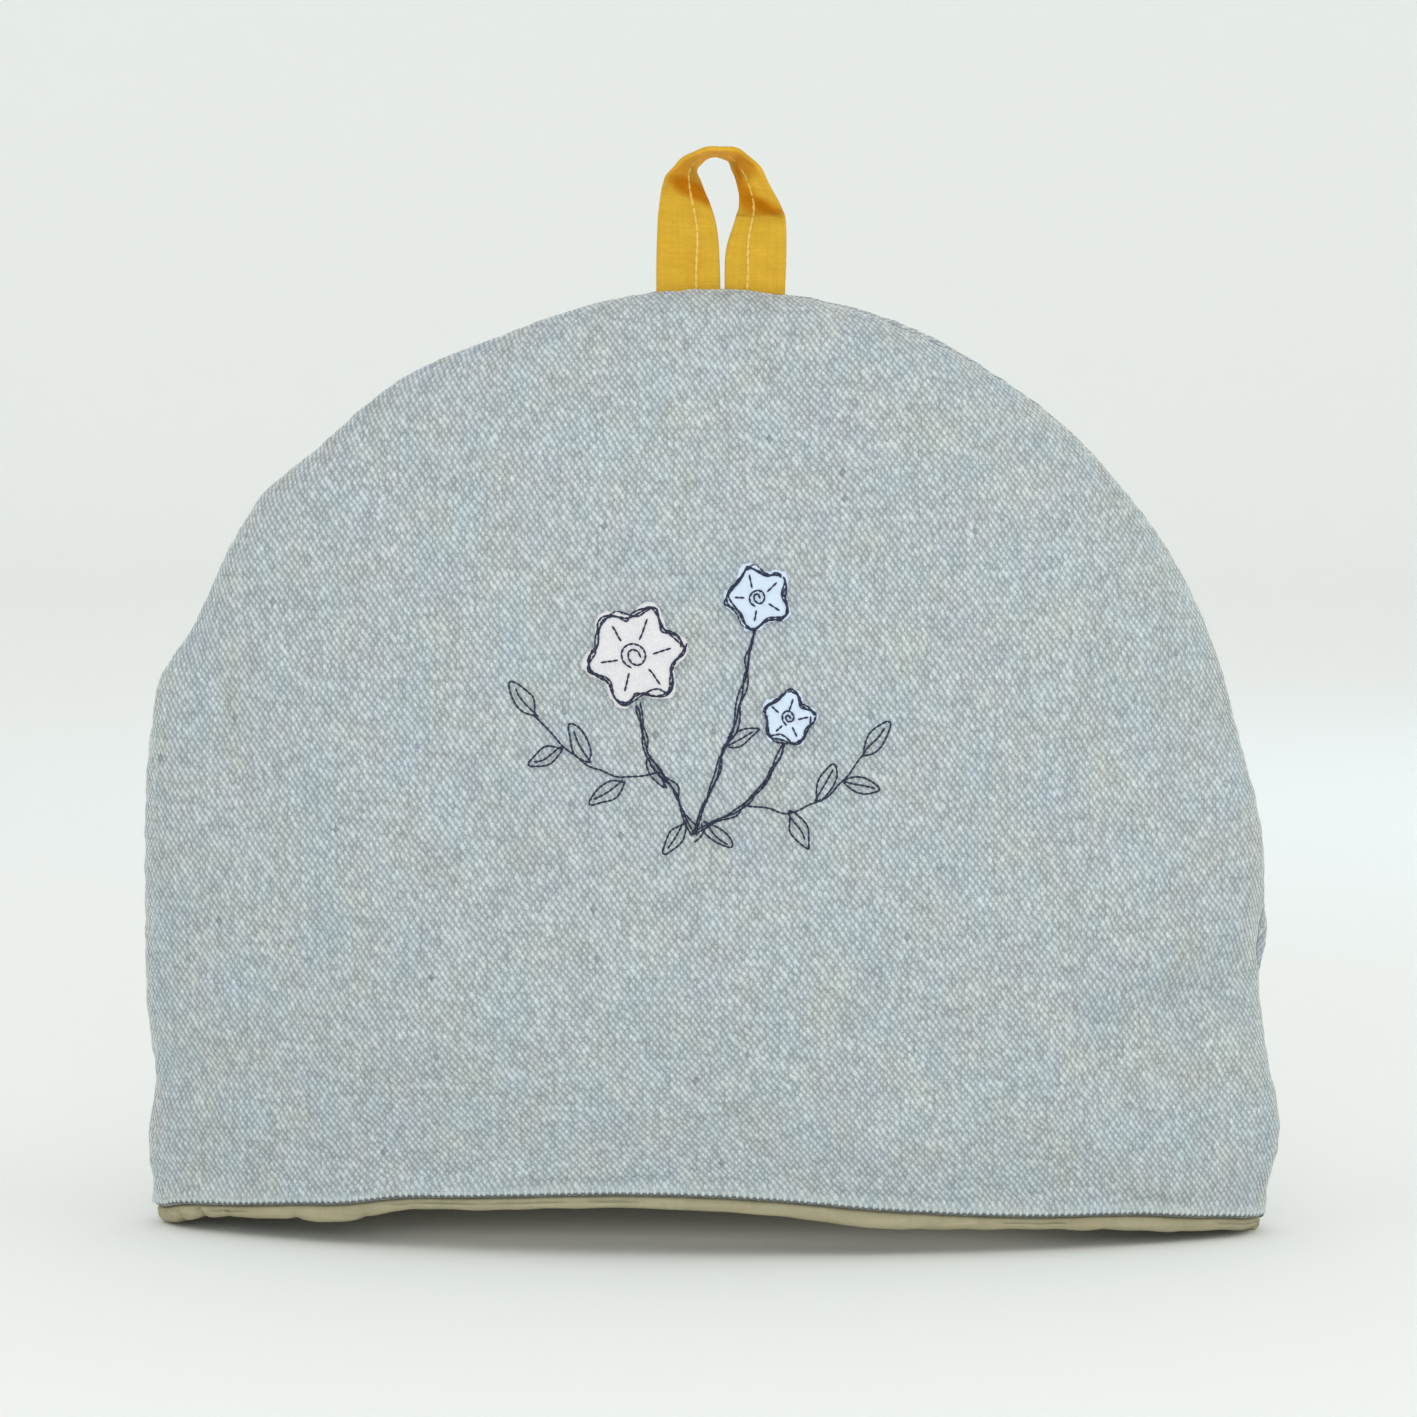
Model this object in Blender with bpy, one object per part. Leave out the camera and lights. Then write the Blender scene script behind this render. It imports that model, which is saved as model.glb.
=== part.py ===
"""Tea cosy: two wool panels joined along a curved seam, their lining, a tape loop and three flowers.

The front faces -Y, +X is to the right and +Z is up. The origin is on the table, under the middle.
Sizes in the tables are millimetres.
"""

import math
from collections import namedtuple

import bmesh
import bpy
import numpy as np
from mathutils import Vector
from mathutils.bvhtree import BVHTree

MM = 0.001

# Cloths and the clearances between them
WOOL_THICK = 2.5
LINING_THICK = 2.0
TAPE_THICK = 1.4
PATCH_THICK = 1.0
CLOTH_GAP = 0.4
SEAM_HALF_GAP = 0.2
TAPE_GAP = 0.5

# The rounded edge where the two panels meet
ROLL_WIDTH = 11.0
ROLL_DEPTH = 10.0
SEAM_DIP = 1.0

# The panel between its rounded edges
CROWN_HEIGHT = 283.0
SPINE_HEIGHT = 205.0
BELLY_POWER = 2.4
LIFT_FADE = 100.0

# How finely each panel is divided
ALONG = 34
ROLL_STEPS = (0.0, 0.16, 0.45, 0.75, 1.0)
BODY_STEPS = 8
SMALL_STEP = 0.004
SPINE_SIDE = 1.95

# The seam, from the left hem corner over the top to the right one
Seam = namedtuple("Seam", "x z y")
SEAM = (
    Seam(-168.0, 0, 6.0),
    Seam(-170.0, 8, 6.0),
    Seam(-170.8, 24, 5.0),
    Seam(-166.8, 45.5, 4.0),
    Seam(-168.8, 59, 3.0),
    Seam(-171.0, 106, 1.0),
    Seam(-169.2, 150, 0.0),
    Seam(-166.2, 166, 0.5),
    Seam(-157.8, 179, 1.0),
    Seam(-143.4, 208.5, 0.0),
    Seam(-122.2, 232.5, 0.5),
    Seam(-93.4, 256, 0.0),
    Seam(-63.5, 269, 0.0),
    Seam(-26.0, 280.6, 0.0),
    Seam(0.0, 283.0, 0.0),
    Seam(23.5, 280.8, 0.0),
    Seam(49.5, 274, -1.5),
    Seam(79.4, 260, -2.0),
    Seam(104.2, 242.5, -1.0),
    Seam(124.4, 221, 0.0),
    Seam(150.6, 174, 0.0),
    Seam(158.4, 147, 0.0),
    Seam(164.6, 122, -0.5),
    Seam(166.4, 98, -2.5),
    Seam(164.6, 74, -3.0),
    Seam(166.8, 54, -3.0),
    Seam(170.9, 32, -4.0),
    Seam(166.8, 9, -4.0),
    Seam(164.4, 0, -4.0),
)

# How far each panel swells from the seam's plane, beyond the rounded edge, at its middle
Section = namedtuple("Section", "z front back")
SECTIONS = (
    Section(0, 47, 48),
    Section(55, 52, 52),
    Section(130, 43, 45),
    Section(200, 30, 32),
    Section(250, 18, 19),
    Section(283, 11, 11),
)

# The lower edge: its height off the table, front and back, and the band of lining that shows
Hem = namedtuple("Hem", "x front back band")
HEM = (
    Hem(-172, 0, 0, 5.2),
    Hem(-164, 0, 0, 5.4),
    Hem(-156, 3.0, 0, 5.4),
    Hem(-144, 5.8, 0, 4.4),
    Hem(-107, 7.4, 0, 5.3),
    Hem(-95, 10.8, 0, 4.0),
    Hem(-71, 12.4, 0.8, 3.9),
    Hem(-12, 14.0, 1.6, 4.2),
    Hem(23, 11.6, 0, 4.7),
    Hem(47, 8.4, 0, 5.5),
    Hem(94, 6.8, 0, 3.8),
    Hem(131, 3.4, 0, 5.0),
    Hem(154, 0.9, 0, 4.0),
    Hem(161, 0, 0, 3.8),
    Hem(172, 0, 0, 3.8),
)

# Soft ridges (+) and troughs (-) pressed into a panel, each along a line through its middle
Fold = namedtuple("Fold", "side x z angle length width height")
FRONT = -1
BACK = 1
SIDE_NAMES = {FRONT: "front", BACK: "back"}
FOLDS = (
    Fold(FRONT, 148, 94, 18, 30, 9, 3.0),
    Fold(FRONT, 150, 76, 12, 26, 7, -2.2),
    Fold(FRONT, 154, 55, -20, 20, 7, 1.2),
    Fold(FRONT, -154, 166, -58, 24, 8, -2.4),
    Fold(FRONT, -156, 46, 8, 24, 7, -2.0),
    Fold(FRONT, -126, 226, 42, 18, 8, 1.4),
    Fold(FRONT, -60, 22, 4, 60, 10, -1.2),
    Fold(FRONT, 70, 30, -6, 70, 12, 1.0),
    Fold(BACK, 120, 60, 30, 34, 11, -2.6),
    Fold(BACK, -110, 150, -65, 40, 14, 2.2),
    Fold(BACK, -40, 40, 12, 46, 12, -1.8),
    Fold(BACK, 60, 205, 55, 34, 12, -1.6),
)

# Places where the back's rounded edge swells past the seam
Puff = namedtuple("Puff", "x z reach height")
PUFFS = (
    Puff(60, 270, 26, 2.4),
    Puff(166, 90, 20, 2.0),
)

# Lower edges in section: depth into the cosy, height over the band's top or over the table
Edge = namedtuple("Edge", "depth over_band over_table")
LINING_FACE = WOOL_THICK + CLOTH_GAP
LINING_BACK_FACE = LINING_FACE + LINING_THICK
WOOL_EDGE = (
    Edge(0.0, 1.0, None),
    Edge(0.7, 0.0, None),
    Edge(WOOL_THICK - 0.7, 0.0, None),
    Edge(WOOL_THICK, 1.0, None),
)
LINING_EDGE = (
    Edge(LINING_FACE, 0.6, None),
    Edge(LINING_FACE, -CLOTH_GAP, None),
    Edge(1.0, -CLOTH_GAP, None),
    Edge(0.3, -1.1, None),
    Edge(0.3, None, 1.0),
    Edge(1.2, None, 0.0),
    Edge(4.4, None, 0.0),
    Edge(5.4, None, 1.0),
    Edge(5.4, -1.0, None),
    Edge(LINING_BACK_FACE, 0.6, None),
)

# The tape loop, from its left end up over the crown to its right end
Tape = namedtuple("Tape", "inner_x inner_y inner_z outer_x outer_y outer_z")
TAPE = (
    Tape(1.8, 0.0, 280.8, -17.6, 0.0, 280.8),
    Tape(1.5, 0.0, 290.0, -17.6, 0.0, 290.0),
    Tape(1.0, 0.6, 298.0, -17.5, -2.2, 297.6),
    Tape(-0.4, 2.2, 305.0, -16.8, -5.8, 304.4),
    Tape(-3.8, 5.0, 312.8, -15.2, -10.0, 312.4),
    Tape(-5.7, 6.5, 317.2, -12.8, -11.8, 317.8),
    Tape(-4.2, 7.0, 320.4, -8.8, -12.1, 321.4),
    Tape(0.2, 7.4, 322.0, 0.0, -12.1, 324.2),
    Tape(3.9, 7.1, 320.9, 7.6, -12.0, 323.3),
    Tape(6.4, 5.4, 313.8, 14.6, -11.5, 316.4),
    Tape(7.0, 4.0, 308.6, 17.8, -10.0, 310.6),
    Tape(6.9, 2.2, 305.0, 20.0, -6.5, 306.0),
    Tape(5.4, 0.4, 301.6, 21.2, -2.0, 302.2),
    Tape(3.7, 0.0, 296.6, 21.4, 0.0, 297.0),
    Tape(2.7, 0.0, 280.8, 21.0, 0.0, 280.8),
)
TAPE_ALONG = 30
TAPE_ACROSS = 4
TAPE_CUP = 0.5

# The seam's opening for the tape: the tape's middle, half the full opening and its run-out
TAPE_MIDDLE = 1.7
SLOT = TAPE_THICK / 2 + TAPE_GAP - SEAM_HALF_GAP
SLOT_REACH = 30.0
SLOT_FADE = 14.0

# The applied flowers
Flower = namedtuple("Flower", "name x z radius petals turn colour")
FLOWERS = (
    Flower("flower_cream", -23, 176, 16.0, 6, 12, (0.73, 0.70, 0.73)),
    Flower("flower_blue_upper", 13, 193, 10.5, 5, 40, (0.45, 0.62, 0.83)),
    Flower("flower_blue_lower", 22, 158, 8.5, 5, 5, (0.45, 0.62, 0.83)),
)
PETAL_DIP = 0.24
FLOWER_POINTS = 30
FLOWER_RINGS = (0.5, 1.0)
CLEAR_OF_CLOTH = 200.0

# Materials
WOOL_COLOUR = (0.43, 0.49, 0.50)
LINING_COLOUR = (0.36, 0.33, 0.22)
TAPE_COLOUR = (0.66, 0.38, 0.045)
CLOTH_ROUGHNESS = 0.95
TAPE_ROUGHNESS = 0.9
PATCH_ROUGHNESS = 0.85
SHARP_ANGLE = 50.0


def through(knots, values, at):
    """Values at given places on a smooth curve through a table's rows."""
    knots = np.asarray(knots, float)
    values = np.asarray(values, float)
    at = np.clip(at, knots[0], knots[-1])
    slopes = np.gradient(values, knots)
    row = np.clip(np.searchsorted(knots, at, side="right") - 1, 0, len(knots) - 2)
    step = knots[row + 1] - knots[row]
    t = (at - knots[row]) / step
    start = (1 + 2 * t) * (1 - t) ** 2 * values[row] + t * (1 - t) ** 2 * step * slopes[row]
    end = t**2 * (3 - 2 * t) * values[row + 1] + t**2 * (t - 1) * step * slopes[row + 1]
    return start + end


def along_rows(rows):
    """How far along a run of points each of them lies."""
    steps = np.linalg.norm(np.diff(np.asarray(rows, float), axis=0), axis=1)
    return np.concatenate([[0.0], np.cumsum(steps)])


SEAM_AT = along_rows([(s.x, s.z) for s in SEAM])
SEAM_START = SEAM_AT[1]
SEAM_END = SEAM_AT[-2]


def seam_point(along):
    """The seam at a share of its length between the two ends of the hem row: x, y, z."""
    at = SEAM_START + (SEAM_END - SEAM_START) * along
    x, y, z = (through(SEAM_AT, [getattr(s, axis) for s in SEAM], at) for axis in "xyz")
    return x, y, z


def puff_out(x, z):
    """How far the back's rounded edge swells past the seam near a point of it."""
    total = np.zeros_like(x)
    for p in PUFFS:
        total += p.height * np.exp(-((x - p.x) ** 2 + (z - p.z) ** 2) / (2 * p.reach**2))
    return total


def fold_height(side, x, z):
    """The folds' combined height on one panel."""
    total = np.zeros_like(x)
    for f in FOLDS:
        if f.side != side:
            continue
        turn = math.radians(f.angle)
        run = (x - f.x) * math.cos(turn) + (z - f.z) * math.sin(turn)
        off = (z - f.z) * math.cos(turn) - (x - f.x) * math.sin(turn)
        total += f.height * np.exp(-((run / f.length) ** 2) - (off / f.width) ** 2)
    return total


def panel_point(side, along, inward):
    """A panel's outer surface. inward is 0 at the seam, 1 at the end of the rounded edge and 2
    at the panel's upright middle line. Near the tape the seam opens to let it through."""
    along = np.clip(along, 0, 1)
    x0, y0, z0 = seam_point(along)
    ahead = seam_point(np.clip(along + SMALL_STEP, 0, 1))
    behind = seam_point(np.clip(along - SMALL_STEP, 0, 1))
    dx, dz = ahead[0] - behind[0], ahead[2] - behind[2]
    length = np.hypot(dx, dz)
    in_x, in_z = dz / length, -dx / length
    spine_z = SPINE_HEIGHT * np.sin(math.pi / 2 * np.clip(z0 / CROWN_HEIGHT, 0, 1))
    reach = -x0 * in_x + (spine_z - z0) * in_z
    angle = math.pi / 2 * np.clip(inward, 0, 1)
    distance = ROLL_WIDTH * (1 - np.cos(angle)) + (reach - ROLL_WIDTH) * np.clip(inward - 1, 0, 1)
    share = distance / reach
    x = x0 * (1 - share)
    z = z0 + (spine_z - z0) * share
    if side == BACK:
        swell = puff_out(x0, z0) * np.sin(2 * angle)
        x = x - in_x * swell
        z = z - in_z * swell
    middle = through([s.z for s in SECTIONS], [getattr(s, SIDE_NAMES[side]) for s in SECTIONS], z)
    belly = middle * (1 - (1 - share) ** BELLY_POWER)
    depth = ROLL_DEPTH * np.sin(angle) + belly + fold_height(side, x, z) * np.sin(angle)
    opening = np.clip((SLOT_REACH + SLOT_FADE - np.abs(x0 - TAPE_MIDDLE)) / SLOT_FADE, 0, 1)
    on_top = z0 > SPINE_HEIGHT
    half_gap = SEAM_HALF_GAP + SLOT * opening * on_top * (1 - np.clip(inward, 0, 1))
    y = y0 * (1 - share) ** 2 + side * (half_gap + depth)
    return np.stack([x, y, z], axis=-1)


def panel_normal(side, along, inward):
    """The outward direction at the same places. Just beside the middle line it is taken from
    both halves, because they share that line's points."""
    inward = np.minimum(inward, SPINE_SIDE)
    up = panel_point(side, along + SMALL_STEP, inward)
    down = panel_point(side, along - SMALL_STEP, inward)
    more = panel_point(side, along, inward + SMALL_STEP)
    less = panel_point(side, along, np.maximum(inward - SMALL_STEP, 0))
    normal = np.cross(up - down, more - less) * side
    normal /= np.linalg.norm(normal, axis=-1, keepdims=True)
    beside = inward == SPINE_SIDE
    normal[beside] = ((normal + normal[::-1]) / 2)[beside]
    return normal / np.linalg.norm(normal, axis=-1, keepdims=True)


def hem_value(column, x):
    """One column of the hem's table at given places."""
    return np.maximum(through([h.x for h in HEM], [getattr(h, column) for h in HEM], x), 0)


def lifted(side, points):
    """Points raised with the uneven hem, less and less up the panel."""
    fade = np.clip(1 - points[..., 2] / LIFT_FADE, 0, 1) ** 2
    raised = points.copy()
    raised[..., 2] += hem_value(SIDE_NAMES[side], points[..., 0]) * fade
    return raised


def edge_point(side, edge, base, flat_normal):
    """A point of the hem's section below one place of the hem row."""
    over = edge.over_table if edge.over_band is None else hem_value("band", base[0]) + edge.over_band
    point = base - flat_normal * edge.depth
    return (point[0], point[1], hem_value(SIDE_NAMES[side], base[0]) + over)


def new_object(name, bm, colour, roughness):
    """A closed piece of triangles with its own material."""
    bm.normal_update()
    bmesh.ops.triangulate(bm, faces=bm.faces)
    bmesh.ops.recalc_face_normals(bm, faces=bm.faces)
    mesh = bpy.data.meshes.new(name)
    bm.to_mesh(mesh)
    bm.free()
    mesh.shade_smooth()
    mesh.set_sharp_from_angle(angle=math.radians(SHARP_ANGLE))
    material = bpy.data.materials.new(name + "_cloth")
    material.use_nodes = True
    shader = material.node_tree.nodes["Principled BSDF"]
    shader.inputs["Base Color"].default_value = (*colour, 1)
    shader.inputs["Roughness"].default_value = roughness
    shader.inputs["Metallic"].default_value = 0.0
    mesh.materials.append(material)
    made = bpy.data.objects.new(name, mesh)
    bpy.context.collection.objects.link(made)
    return made


def add_two_faces(bm, sheet, i, j):
    """One cell of a sheet, cut the same way in every layer so that layers keep their distance."""
    a, b, c, d = sheet[i][j], sheet[i + 1][j], sheet[i + 1][j + 1], sheet[i][j + 1]
    if i < ALONG // 2:
        bm.faces.new((a, b, c))
        bm.faces.new((a, c, d))
    else:
        bm.faces.new((a, b, d))
        bm.faces.new((b, c, d))


def make_panel(name, side, face, back_face, edge, dip, colour):
    """A sheet of cloth between two depths, closed along the seam and round its lower edge."""
    inward = np.array(ROLL_STEPS + tuple(1 + k / BODY_STEPS for k in range(1, BODY_STEPS + 1)))
    last = len(inward) - 1
    u, w = np.meshgrid(np.linspace(0, 1, ALONG + 1), inward, indexing="ij")
    surface = panel_point(side, u, w)
    normal = panel_normal(side, u, w)
    bm = bmesh.new()

    def place(point):
        return bm.verts.new(Vector(point) * MM)

    def layer(depth):
        grid = lifted(side, surface - normal * depth[None, :, None])
        spine = [place(grid[i, last]) for i in range(ALONG // 2 + 1)]
        rows = [[place(grid[i, j]) for j in range(last)] for i in range(ALONG + 1)]
        return [rows[i] + [spine[min(i, ALONG - i)]] for i in range(ALONG + 1)]

    outer = layer(np.where(inward == 0, face + dip, face))
    inner = layer(np.full(len(inward), back_face))
    for sheet in (outer, inner):
        for i in range(ALONG):
            for j in range(last):
                add_two_faces(bm, sheet, i, j)
    for i in range(ALONG):
        bm.faces.new((outer[i][0], outer[i + 1][0], inner[i + 1][0], inner[i][0]))

    # The hem runs from the left seam to the middle and on to the right seam
    places = [(0, j) for j in range(last + 1)] + [(ALONG, j) for j in range(last - 1, -1, -1)]
    sections = []
    for i, j in places:
        flat = normal[i, j] * (1, 1, 0)
        flat /= np.linalg.norm(flat)
        section = [place(edge_point(side, e, surface[i, j], flat)) for e in edge]
        sections.append([outer[i][j], *section, inner[i][j]])
    for here, there in zip(sections, sections[1:]):
        for k in range(len(here) - 1):
            bm.faces.new((here[k], there[k], there[k + 1], here[k + 1]))
    bm.faces.new(sections[0])
    bm.faces.new(sections[-1])
    return new_object(name, bm, colour, CLOTH_ROUGHNESS)


def make_loop():
    """The tape, whose width turns from side to side at its ends to front to back at its crown."""
    rows = np.array(TAPE)
    at = along_rows((rows[:, :3] + rows[:, 3:]) / 2)
    steps = np.linspace(0, at[-1], TAPE_ALONG + 1)
    edges = np.stack([through(at, rows[:, k], steps) for k in range(6)], axis=1)
    middle = (edges[:, :3] + edges[:, 3:]) / 2
    tangent = np.gradient(middle, axis=0)
    across = edges[:, 3:] - edges[:, :3]
    normal = np.cross(tangent, across)
    normal /= np.linalg.norm(normal, axis=1, keepdims=True)
    cup = TAPE_CUP * np.sin(math.pi * steps / at[-1])
    bm = bmesh.new()
    rings = []
    for i in range(TAPE_ALONG + 1):
        faces = []
        for side in (1, -1):
            for k in range(TAPE_ACROSS + 1):
                share = k / TAPE_ACROSS
                bow = 4 * share * (1 - share) * cup[i]
                offset = normal[i] * (side * TAPE_THICK / 2 - bow)
                point = edges[i, :3] + across[i] * share + offset
                faces.append(bm.verts.new(Vector(point) * MM))
        half = TAPE_ACROSS + 1
        rings.append(faces[:half] + faces[half:][::-1])
    count = len(rings[0])
    for here, there in zip(rings, rings[1:]):
        for k in range(count):
            bm.faces.new((here[k], there[k], there[(k + 1) % count], here[(k + 1) % count]))
    bm.faces.new(rings[0])
    bm.faces.new(rings[-1])
    return new_object("hanging_loop", bm, TAPE_COLOUR, TAPE_ROUGHNESS)


def make_flower(flower, cloth):
    """A flat flower laid just off the front panel."""
    bm = bmesh.new()

    def stack(x, z):
        start = Vector((x, -CLEAR_OF_CLOTH, z)) * MM
        hit = cloth.ray_cast(start, Vector((0, 1, 0)))[0]
        return [bm.verts.new(hit - Vector((0, d * MM, 0))) for d in (CLOTH_GAP, CLOTH_GAP + PATCH_THICK)]

    centre = stack(flower.x, flower.z)
    rings = []
    for ring in FLOWER_RINGS:
        points = []
        for k in range(FLOWER_POINTS):
            angle = 2 * math.pi * k / FLOWER_POINTS
            notch = (1 - math.cos(flower.petals * angle)) / 2
            radius = flower.radius * ring * (1 - PETAL_DIP * notch * ring)
            turned = angle + math.radians(flower.turn)
            points.append(stack(flower.x + radius * math.cos(turned), flower.z + radius * math.sin(turned)))
        rings.append(points)
    for k in range(FLOWER_POINTS):
        after = (k + 1) % FLOWER_POINTS
        for layer in (0, 1):
            bm.faces.new((centre[layer], rings[0][k][layer], rings[0][after][layer]))
            bm.faces.new(
                (rings[0][k][layer], rings[1][k][layer], rings[1][after][layer], rings[0][after][layer])
            )
        rim = rings[1]
        bm.faces.new((rim[k][0], rim[k][1], rim[after][1], rim[after][0]))
    return new_object(flower.name, bm, flower.colour, PATCH_ROUGHNESS)


def surface_of(made):
    """An object's surface, for laying another piece on it."""
    bm = bmesh.new()
    bm.from_mesh(made.data)
    tree = BVHTree.FromBMesh(bm)
    bm.free()
    return tree


for left_over in list(bpy.data.objects):
    bpy.data.objects.remove(left_over, do_unlink=True)

for panel, sheet_side in (("front_panel", FRONT), ("back_panel", BACK)):
    make_panel(panel, sheet_side, 0.0, WOOL_THICK, WOOL_EDGE, SEAM_DIP, WOOL_COLOUR)
for panel, sheet_side in (("lining_front", FRONT), ("lining_back", BACK)):
    make_panel(panel, sheet_side, LINING_FACE, LINING_BACK_FACE, LINING_EDGE, 0.0, LINING_COLOUR)
make_loop()
front_cloth = surface_of(bpy.data.objects["front_panel"])
for sewn in FLOWERS:
    make_flower(sewn, front_cloth)
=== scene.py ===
import math

import bmesh
import bpy
import numpy as np
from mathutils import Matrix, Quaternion, Vector
from mathutils.bvhtree import BVHTree


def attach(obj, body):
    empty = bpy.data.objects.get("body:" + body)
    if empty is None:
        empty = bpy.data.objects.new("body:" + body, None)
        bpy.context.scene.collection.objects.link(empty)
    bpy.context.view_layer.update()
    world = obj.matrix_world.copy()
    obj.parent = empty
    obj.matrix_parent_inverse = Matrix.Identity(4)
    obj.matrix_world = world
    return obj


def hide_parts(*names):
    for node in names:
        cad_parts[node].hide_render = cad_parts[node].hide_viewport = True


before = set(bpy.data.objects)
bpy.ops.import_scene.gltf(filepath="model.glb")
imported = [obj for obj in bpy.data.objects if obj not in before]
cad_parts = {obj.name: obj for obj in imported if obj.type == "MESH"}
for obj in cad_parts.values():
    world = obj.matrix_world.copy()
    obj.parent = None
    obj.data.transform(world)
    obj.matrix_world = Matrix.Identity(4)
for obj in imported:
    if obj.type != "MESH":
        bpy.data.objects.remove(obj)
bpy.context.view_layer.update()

mm = 0.001
front, back = -1, 1
print("frame loaded")

# how the cosy stands: its seam, how far the panels swell, its hem and its folds, all in millimetres
cosyShape = dict(
    rollWidth=11, rollDepth=10, bodyReach=150, rimEase=1.35, startZ=12,
    crownHeight=283, spineHeight=205, bellyPower=2.4, liftFade=100,
    gapAtTape=(0.75, 1.7, 20.5, 5),  # opening, middle, half width, run-out
    seamStep=1.5, normalStep=2, smallStep=0.004, nearMiddle=1.95,
    # x, z, y from the left hem corner over the top to the right one
    seam=[
        (-166.8, 0, 6), (-168.5, 8, 6), (-170.8, 25, 5), (-168.3, 45.5, 4),
        (-170, 60, 3), (-171, 106, 1), (-169.2, 150, 0), (-166.2, 166, 0.5),
        (-157.8, 179, 1), (-143.4, 208.5, 0), (-134.4, 222, 0.3), (-121.8, 232.5, 0.5),
        (-93.4, 256, 0), (-63.5, 269, 0), (-26, 280.6, 0), (0, 283, 0), (23.5, 280.8, 0),
        (49.5, 274, -1.5), (79.4, 260, -2), (104.2, 242.5, -1), (124.6, 221, 0),
        (137.2, 204, 0), (151, 174, 0), (158.4, 147, 0), (164.6, 122, -0.5), (165.8, 106, -2.5),
        (164.7, 96, -3), (163.6, 84, -3), (164.4, 74, -3), (166.8, 54, -3),
        (170.9, 32, -4), (166.8, 9, -4), (164.4, 0, -4),
    ],
    # z, front, back
    swell=[(0, 47, 48), (55, 52, 52), (130, 43, 45), (200, 30, 32), (250, 18, 19), (283, 11, 11)],
    # x, front lift, back lift, band of lining below the wool
    hem=[
        (-172, 0.5, 0, 4.9), (-166, 1, 0, 5), (-162, 2.4, 0, 5), (-158, 3.5, 0, 4.6),
        (-152, 4.8, 0, 3.8), (-146, 5.4, 0, 3.6), (-136, 6, 0, 4), (-124, 6.4, 0, 4.8),
        (-107, 7.4, 0, 5.3), (-95, 10.8, 0, 4), (-71, 12.4, 0.8, 3.9), (-12, 14, 1.6, 4.2),
        (23, 11.6, 0, 4.7), (47, 8.4, 0, 5.5), (94, 6.8, 0, 3.8), (131, 4.2, 0, 4.9),
        (146, 2.9, 0, 4.4), (155, 2.6, 0, 4), (162, 1.8, 0, 3.8), (172, 0.9, 0, 3.8),
    ],
    # side, x, z, angle, length, width, height: ridges are above zero, troughs below
    folds=[
        (front, 146, 92, 22, 30, 10, 3.6), (front, 148, 74, 16, 28, 7, -3),
        (front, 154, 55, -20, 20, 7, 1.2), (front, -154, 166, -58, 24, 8, -2.4),
        (front, -156, 46, 8, 24, 7, -2), (front, -126, 226, 42, 18, 8, 1.4),
        (front, -60, 22, 4, 60, 10, -1.2), (front, 70, 30, -6, 70, 12, 1),
        (back, 120, 60, 30, 34, 11, -2.6), (back, -110, 150, -65, 40, 14, 2.2),
        (back, -40, 40, 12, 46, 12, -1.8), (back, 60, 205, 55, 34, 12, -1.6),
    ],
    # x, z, reach, height: where the back's rounded edge swells past the seam
    puffs=[(60, 270, 26, 1.5), (164, 88.5, 8, 4.7)],
    puffPower=0.6,
)
# the soft unevenness that the layers share: lengths of its waves, and how far from the seam and hem it fades
unevenness = dict(
    height=0.55, wave=85, smallWave=34, smallShare=0.45, seamCalm=14,
    puckerWave=12, puckerStart=1.5, puckerReach=7, puckerRows=9, grooveWidth=1.7,
    hemHeight=0.12, hemWave=13, hemReach=9, hemStretch=0.4, edgeHeight=0.12, edgeUp=0.8,
    tuckTip=0.3, tuckFoot=1.4, tuckUp=0.7,
    yarnWave=13, yarnWander=0.13,
)
seeds = dict(
    soft=40, small=50, pucker=60, hem=70, edge=80, yarn=90,
    petals=100, heart=120, rays=130, stems=200, leaves=300, veins=340, tape=5,
)


# curves and surfaces

def throughTable(knots, values, at):
    # a smooth curve through a table's rows
    knots = np.asarray(knots, float)
    values = np.asarray(values, float)
    at = np.clip(at, knots[0], knots[-1])
    slopes = np.gradient(values, knots)
    row = np.clip(np.searchsorted(knots, at, side="right") - 1, 0, len(knots) - 2)
    step = knots[row + 1] - knots[row]
    t = (at - knots[row]) / step
    first = (1 + 2 * t) * (1 - t) ** 2 * values[row] + t * (1 - t) ** 2 * step * slopes[row]
    second = t**2 * (3 - 2 * t) * values[row + 1] + t**2 * (t - 1) * step * slopes[row + 1]
    return first + second


def lengthsAlong(points):
    steps = np.linalg.norm(np.diff(np.asarray(points, float), axis=0), axis=-1)
    return np.concatenate([np.zeros((1,) + steps.shape[1:]), np.cumsum(steps, axis=0)])


def unit(vectors):
    return vectors / np.linalg.norm(vectors, axis=-1, keepdims=True)


def seenAlong(x, z, angle):
    # how far x, z lies along a line at this angle, and how far off it
    turn = math.radians(angle)
    return x * math.cos(turn) + z * math.sin(turn), z * math.cos(turn) - x * math.sin(turn)


def ripples(seed, x, z, longest, count=9):
    # soft unevenness from a few crossing waves, the same on each run
    draw = np.random.default_rng(seed)
    total = np.zeros_like(x)
    for _ in range(count):
        wave = longest * (0.5 + 0.5 * draw.random())
        turn = draw.random() * math.pi
        shift = draw.random() * 2 * math.pi
        total += np.sin((x * math.cos(turn) + z * math.sin(turn)) * 2 * math.pi / wave + shift)
    return total / math.sqrt(count / 2)


seamTable = np.array(cosyShape["seam"], float)
seamAt = lengthsAlong(seamTable[:, :2])


def seamPoint(at):
    x, z, y = (throughTable(seamAt, seamTable[:, k], at) for k in range(3))
    return x, y, z


def hemValue(column, x):
    table = np.array(cosyShape["hem"], float)
    return np.maximum(throughTable(table[:, 0], table[:, column], x), 0)


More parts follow.
